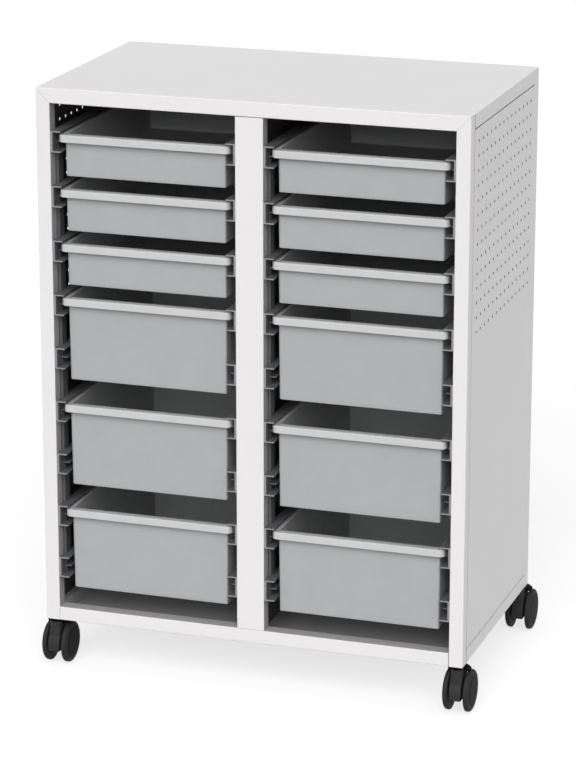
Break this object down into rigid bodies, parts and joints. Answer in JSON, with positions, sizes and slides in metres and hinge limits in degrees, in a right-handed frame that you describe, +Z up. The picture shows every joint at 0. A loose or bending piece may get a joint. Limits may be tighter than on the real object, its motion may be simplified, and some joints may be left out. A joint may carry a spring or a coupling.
{
  "type": "classroom tray storage unit",
  "caption": "Mobile two-bay steel cabinet on twin-wheel casters, holding shallow and deep lift-out plastic trays on open runners.",
  "frame": {"origin": "on the floor, centred between the wheels of the four casters, which is the bottom centre of the bounding box", "axes": "+X right across the open front, -Y out of the open front, +Z up"},
  "size_m": [0.799, 0.5, 1.06],
  "materials": {
    "white_steel": "satin powder coat",
    "dark_steel": "satin powder coat",
    "runner_plastic": "satin",
    "tray_plastic": "translucent satin polypropylene",
    "stem_insert": "satin",
    "caster_nylon": "satin",
    "wheel_rubber": "satin",
    "axle_steel": "plain"
  },
  "bodies": {
    "cabinet": {"panel_back": "white_steel", "panel_base": "dark_steel", "panel_divider": "dark_steel", "panel_side_left": "white_steel", "panel_side_right": "white_steel", "panel_top": "white_steel", "post_front_left": "white_steel", "post_front_right": "white_steel", "post_rear_left": "white_steel", "post_rear_right": "white_steel", "rail_bottom_front": "white_steel", "rail_bottom_left": "white_steel", "rail_bottom_rear": "white_steel", "rail_bottom_right": "white_steel", "rail_top_front": "white_steel", "rail_top_left": "white_steel", "rail_top_rear": "white_steel", "rail_top_right": "white_steel", "stile_centre_front": "white_steel", "stile_centre_rear": "white_steel", "runners_left_outer": "runner_plastic", "runners_left_inner": "runner_plastic", "runners_right_outer": "runner_plastic", "runners_right_inner": "runner_plastic", "stem_front_left": "stem_insert", "stem_front_right": "stem_insert", "stem_rear_left": "stem_insert", "stem_rear_right": "stem_insert"},
    "tray_left_1": {"tray_left_1": "tray_plastic"},
    "tray_left_2": {"tray_left_2": "tray_plastic"},
    "tray_left_3": {"tray_left_3": "tray_plastic"},
    "tray_left_4": {"tray_left_4": "tray_plastic"},
    "tray_left_6": {"tray_left_6": "tray_plastic"},
    "tray_left_8": {"tray_left_8": "tray_plastic"},
    "tray_right_1": {"tray_right_1": "tray_plastic"},
    "tray_right_2": {"tray_right_2": "tray_plastic"},
    "tray_right_3": {"tray_right_3": "tray_plastic"},
    "tray_right_4": {"tray_right_4": "tray_plastic"},
    "tray_right_6": {"tray_right_6": "tray_plastic"},
    "tray_right_8": {"tray_right_8": "tray_plastic"},
    "caster_front_left": {"fork_front_left": "caster_nylon", "axle_front_left": "axle_steel"},
    "wheel_front_left_left": {"wheel_front_left_left": "wheel_rubber"},
    "wheel_front_left_right": {"wheel_front_left_right": "wheel_rubber"},
    "caster_front_right": {"fork_front_right": "caster_nylon", "axle_front_right": "axle_steel"},
    "wheel_front_right_left": {"wheel_front_right_left": "wheel_rubber"},
    "wheel_front_right_right": {"wheel_front_right_right": "wheel_rubber"},
    "caster_rear_left": {"fork_rear_left": "caster_nylon", "axle_rear_left": "axle_steel"},
    "wheel_rear_left_left": {"wheel_rear_left_left": "wheel_rubber"},
    "wheel_rear_left_right": {"wheel_rear_left_right": "wheel_rubber"},
    "caster_rear_right": {"fork_rear_right": "caster_nylon", "axle_rear_right": "axle_steel"},
    "wheel_rear_right_left": {"wheel_rear_right_left": "wheel_rubber"},
    "wheel_rear_right_right": {"wheel_rear_right_right": "wheel_rubber"}
  },
  "joints": [
    {"name": "tray_left_1_slide", "type": "slide", "parent": "cabinet", "child": "tray_left_1", "axis": [0, -1, 0], "range_m": [0, 0.435]},
    {"name": "tray_left_2_slide", "type": "slide", "parent": "cabinet", "child": "tray_left_2", "axis": [0, -1, 0], "range_m": [0, 0.435]},
    {"name": "tray_left_3_slide", "type": "slide", "parent": "cabinet", "child": "tray_left_3", "axis": [0, -1, 0], "range_m": [0, 0.435]},
    {"name": "tray_left_4_slide", "type": "slide", "parent": "cabinet", "child": "tray_left_4", "axis": [0, -1, 0], "range_m": [0, 0.435]},
    {"name": "tray_left_6_slide", "type": "slide", "parent": "cabinet", "child": "tray_left_6", "axis": [0, -1, 0], "range_m": [0, 0.435]},
    {"name": "tray_left_8_slide", "type": "slide", "parent": "cabinet", "child": "tray_left_8", "axis": [0, -1, 0], "range_m": [0, 0.435]},
    {"name": "tray_right_1_slide", "type": "slide", "parent": "cabinet", "child": "tray_right_1", "axis": [0, -1, 0], "range_m": [0, 0.435]},
    {"name": "tray_right_2_slide", "type": "slide", "parent": "cabinet", "child": "tray_right_2", "axis": [0, -1, 0], "range_m": [0, 0.435]},
    {"name": "tray_right_3_slide", "type": "slide", "parent": "cabinet", "child": "tray_right_3", "axis": [0, -1, 0], "range_m": [0, 0.435]},
    {"name": "tray_right_4_slide", "type": "slide", "parent": "cabinet", "child": "tray_right_4", "axis": [0, -1, 0], "range_m": [0, 0.435]},
    {"name": "tray_right_6_slide", "type": "slide", "parent": "cabinet", "child": "tray_right_6", "axis": [0, -1, 0], "range_m": [0, 0.435]},
    {"name": "tray_right_8_slide", "type": "slide", "parent": "cabinet", "child": "tray_right_8", "axis": [0, -1, 0], "range_m": [0, 0.435]},
    {"name": "caster_front_left_swivel", "type": "hinge", "parent": "cabinet", "child": "caster_front_left", "pos_m": [-0.3745, -0.2335, 0.09], "axis": [0, 0, 1], "continuous": true},
    {"name": "wheel_front_left_left_spin", "type": "hinge", "parent": "caster_front_left", "child": "wheel_front_left_left", "pos_m": [-0.3745, -0.2125, 0.0375], "axis": [1, 0, 0], "continuous": true},
    {"name": "wheel_front_left_right_spin", "type": "hinge", "parent": "caster_front_left", "child": "wheel_front_left_right", "pos_m": [-0.3745, -0.2125, 0.0375], "axis": [1, 0, 0], "continuous": true},
    {"name": "caster_front_right_swivel", "type": "hinge", "parent": "cabinet", "child": "caster_front_right", "pos_m": [0.3745, -0.2335, 0.09], "axis": [0, 0, 1], "continuous": true},
    {"name": "wheel_front_right_left_spin", "type": "hinge", "parent": "caster_front_right", "child": "wheel_front_right_left", "pos_m": [0.3745, -0.2125, 0.0375], "axis": [1, 0, 0], "continuous": true},
    {"name": "wheel_front_right_right_spin", "type": "hinge", "parent": "caster_front_right", "child": "wheel_front_right_right", "pos_m": [0.3745, -0.2125, 0.0375], "axis": [1, 0, 0], "continuous": true},
    {"name": "caster_rear_left_swivel", "type": "hinge", "parent": "cabinet", "child": "caster_rear_left", "pos_m": [-0.3745, 0.1915, 0.09], "axis": [0, 0, 1], "continuous": true},
    {"name": "wheel_rear_left_left_spin", "type": "hinge", "parent": "caster_rear_left", "child": "wheel_rear_left_left", "pos_m": [-0.3745, 0.2125, 0.0375], "axis": [1, 0, 0], "continuous": true},
    {"name": "wheel_rear_left_right_spin", "type": "hinge", "parent": "caster_rear_left", "child": "wheel_rear_left_right", "pos_m": [-0.3745, 0.2125, 0.0375], "axis": [1, 0, 0], "continuous": true},
    {"name": "caster_rear_right_swivel", "type": "hinge", "parent": "cabinet", "child": "caster_rear_right", "pos_m": [0.3745, 0.1915, 0.09], "axis": [0, 0, 1], "continuous": true},
    {"name": "wheel_rear_right_left_spin", "type": "hinge", "parent": "caster_rear_right", "child": "wheel_rear_right_left", "pos_m": [0.3745, 0.2125, 0.0375], "axis": [1, 0, 0], "continuous": true},
    {"name": "wheel_rear_right_right_spin", "type": "hinge", "parent": "caster_rear_right", "child": "wheel_rear_right_right", "pos_m": [0.3745, 0.2125, 0.0375], "axis": [1, 0, 0], "continuous": true}
  ]
}
